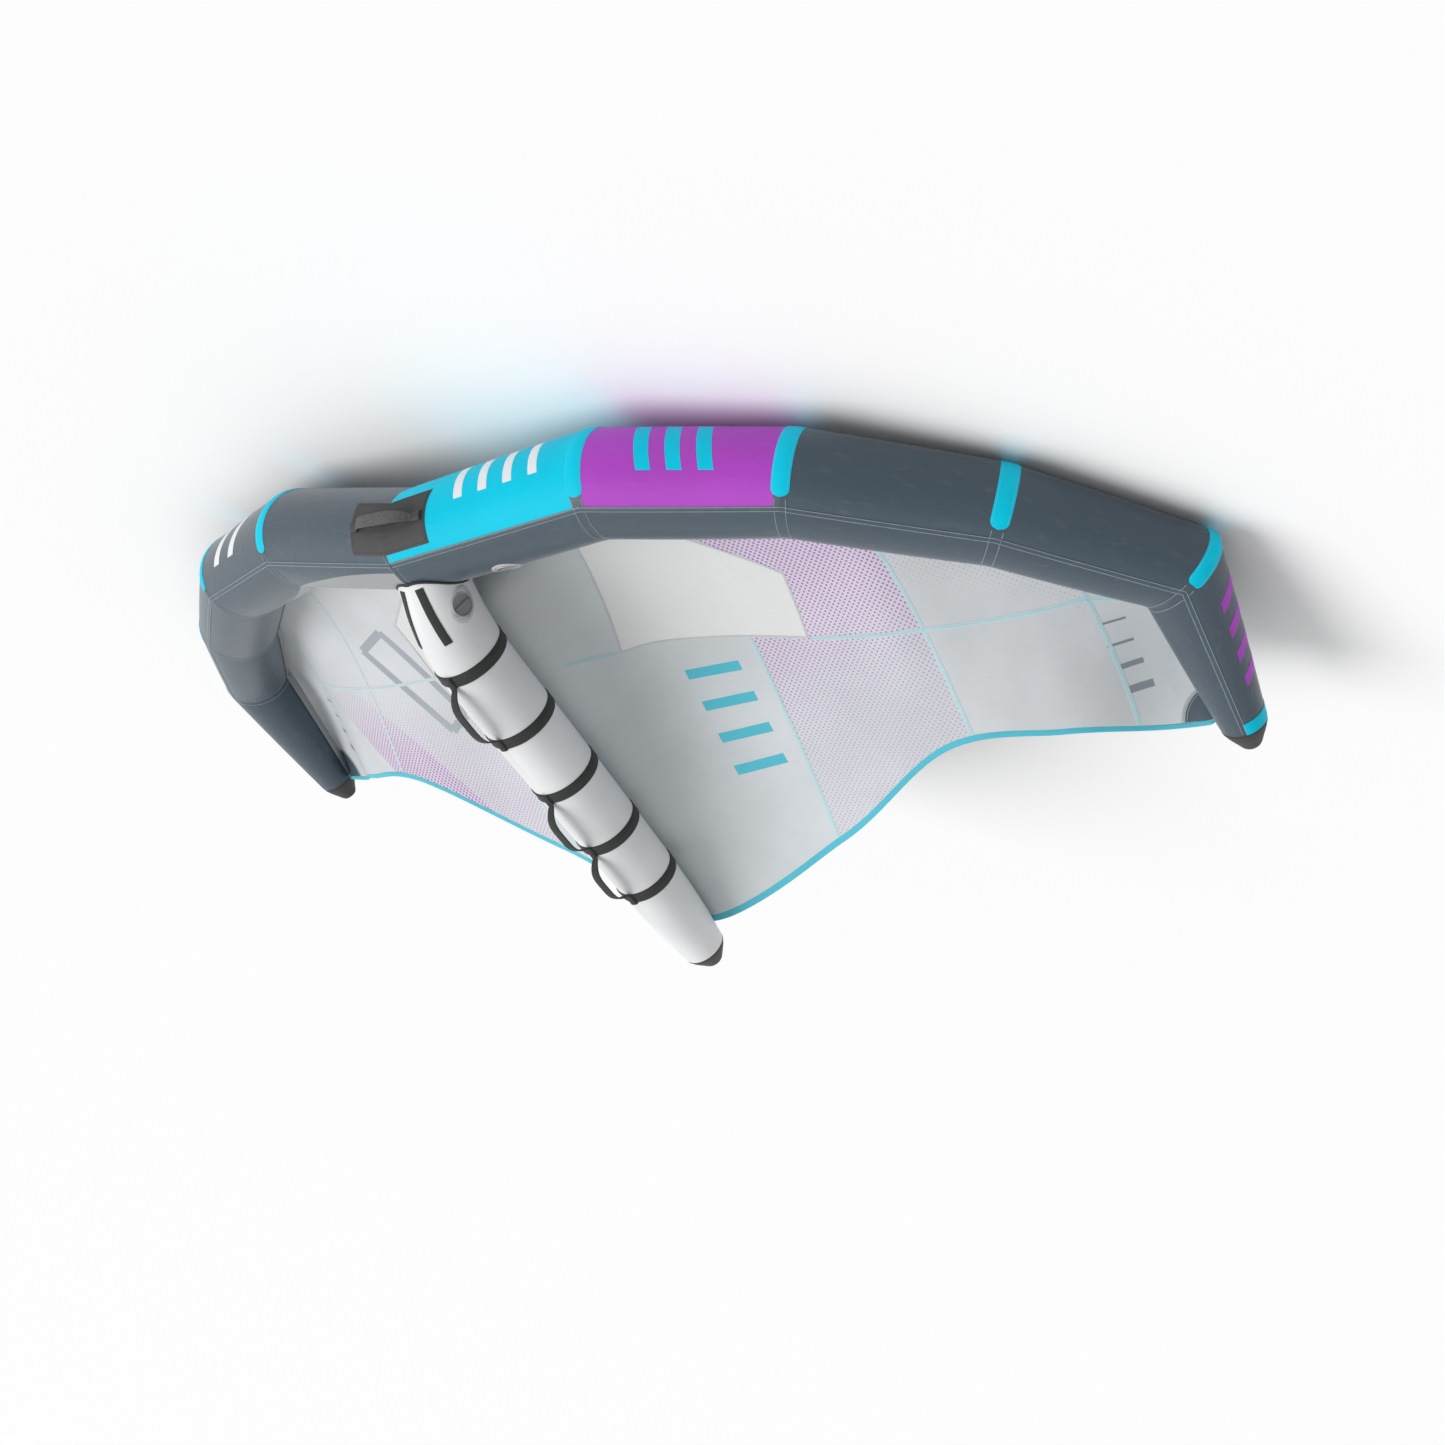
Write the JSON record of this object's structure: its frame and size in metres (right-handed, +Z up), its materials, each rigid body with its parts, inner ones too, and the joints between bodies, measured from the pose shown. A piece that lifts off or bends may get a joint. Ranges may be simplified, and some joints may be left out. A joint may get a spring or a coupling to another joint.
{
  "type": "wingfoil wing",
  "caption": "Inflated hand-held sail: swept tube leading edge and centre strut spread a cambered canopy, with webbing handles under the strut and at the nose.",
  "frame": {"origin": "centre of the bounding box at its base: the ground point below the middle of the wing, which lies parked on its back", "axes": "+X from tip to tip, towards the wearer's left wing as it lies on its back; +Y from the nose to the strut's tail; +Z up, the side on which the handles point"},
  "size_m": [3.0914, 1.3986, 0.7171],
  "materials": {
    "cyan_sleeve": "woven polyester",
    "purple_sleeve": "woven polyester",
    "slate_sleeve": "woven polyester",
    "seam_tape": "stitched tape",
    "strut_sleeve": "woven polyester",
    "canopy_cloth": "ripstop cloth",
    "window_film": "clear film",
    "bladder_film": "clear film",
    "webbing": "webbing",
    "patch_cloth": "coated cloth",
    "valve_plastic": "moulded",
    "dark_plastic": "moulded",
    "valve_flange": "soft film",
    "cap_rubber": "moulded"
  },
  "bodies": {
    "wing": {"edge_panel_right_1": "cyan_sleeve", "edge_panel_right_2": "purple_sleeve", "edge_panel_right_3": "slate_sleeve", "edge_panel_right_4": "slate_sleeve", "edge_panel_right_5": "slate_sleeve", "edge_panel_left_1": "slate_sleeve", "edge_panel_left_2": "slate_sleeve", "edge_panel_left_3": "slate_sleeve", "edge_panel_left_4": "slate_sleeve", "edge_panel_left_5": "slate_sleeve", "seam_cover_right_1": "seam_tape", "seam_cover_right_2": "seam_tape", "seam_cover_right_3": "seam_tape", "seam_cover_right_4": "seam_tape", "seam_cover_left_1": "seam_tape", "seam_cover_left_2": "seam_tape", "seam_cover_left_3": "seam_tape", "seam_cover_left_4": "seam_tape", "tip_tape_right": "seam_tape", "tip_tape_left": "seam_tape", "edge_bladder": "bladder_film", "strut_bladder": "bladder_film", "strut_sleeve": "strut_sleeve", "strut_valve_base": "valve_plastic", "strut_valve_flange": "valve_flange", "edge_valve_base": "valve_plastic", "edge_valve_flange": "valve_flange", "tip_cap_right": "cap_rubber", "tip_cap_left": "cap_rubber", "strut_tail_cap": "cap_rubber", "canopy_centre_right": "canopy_cloth", "canopy_dotted_right": "canopy_cloth", "canopy_outer_right": "canopy_cloth", "canopy_tip_right": "canopy_cloth", "canopy_centre_left": "canopy_cloth", "canopy_dotted_left": "canopy_cloth", "canopy_outer_left": "canopy_cloth", "canopy_tip_left": "canopy_cloth", "window_right": "window_film", "window_left": "window_film", "tip_corner_right": "slate_sleeve", "tip_corner_left": "slate_sleeve", "trailing_tape_right": "seam_tape", "trailing_tape_left": "seam_tape", "strut_band_1": "webbing", "strut_band_2": "webbing", "strut_band_3": "webbing", "strut_band_4": "webbing", "strut_band_5": "webbing", "strut_strip_right": "webbing", "strut_strip_left": "webbing", "nose_patch": "patch_cloth"},
    "front_grip": {"strut_handle_front": "webbing"},
    "middle_grip": {"strut_handle_middle": "webbing"},
    "rear_grip": {"strut_handle_rear": "webbing"},
    "nose_grip": {"nose_handle": "patch_cloth"},
    "strut_valve_insert": {"strut_valve_insert": "dark_plastic"},
    "strut_valve_plug": {"strut_valve_plug": "valve_plastic"},
    "edge_valve_insert": {"edge_valve_insert": "dark_plastic"},
    "edge_valve_plug": {"edge_valve_plug": "valve_plastic"}
  },
  "joints": [
    {"name": "front_handle_swing", "type": "hinge", "parent": "wing", "child": "front_grip", "pos_m": [0, -0.25999, 0.51281], "axis": [0, 0.9673, 0.2535], "range_deg": [-40, 40]},
    {"name": "middle_handle_swing", "type": "hinge", "parent": "wing", "child": "middle_grip", "pos_m": [0, 0.10458, 0.60697], "axis": [0, 0.9692, 0.2462], "range_deg": [-40, 40]},
    {"name": "rear_handle_swing", "type": "hinge", "parent": "wing", "child": "rear_grip", "pos_m": [0, 0.27855, 0.65115], "axis": [0, 0.9693, 0.246], "range_deg": [-40, 40]},
    {"name": "nose_handle_swing", "type": "hinge", "parent": "wing", "child": "nose_grip", "pos_m": [0, -0.6687, 0.26525], "axis": [1, 0, 0], "range_deg": [-40, 40]},
    {"name": "strut_valve_turn", "type": "hinge", "parent": "wing", "child": "strut_valve_insert", "pos_m": [-0.08115, -0.45908, 0.35341], "axis": [-0.9765, -0.1434, 0.1609], "range_deg": [0, 90]},
    {"name": "strut_plug_pull", "type": "slide", "parent": "strut_valve_insert", "child": "strut_valve_plug", "axis": [-0.9765, -0.1434, 0.1609], "range_m": [0, 0.03]},
    {"name": "edge_valve_turn", "type": "hinge", "parent": "wing", "child": "edge_valve_insert", "pos_m": [-0.22482, -0.48842, 0.29487], "axis": [-0.1165, 0.5438, 0.8311], "range_deg": [0, 90]},
    {"name": "edge_plug_pull", "type": "slide", "parent": "edge_valve_insert", "child": "edge_valve_plug", "axis": [-0.1165, 0.5438, 0.8311], "range_m": [0, 0.03]}
  ]
}
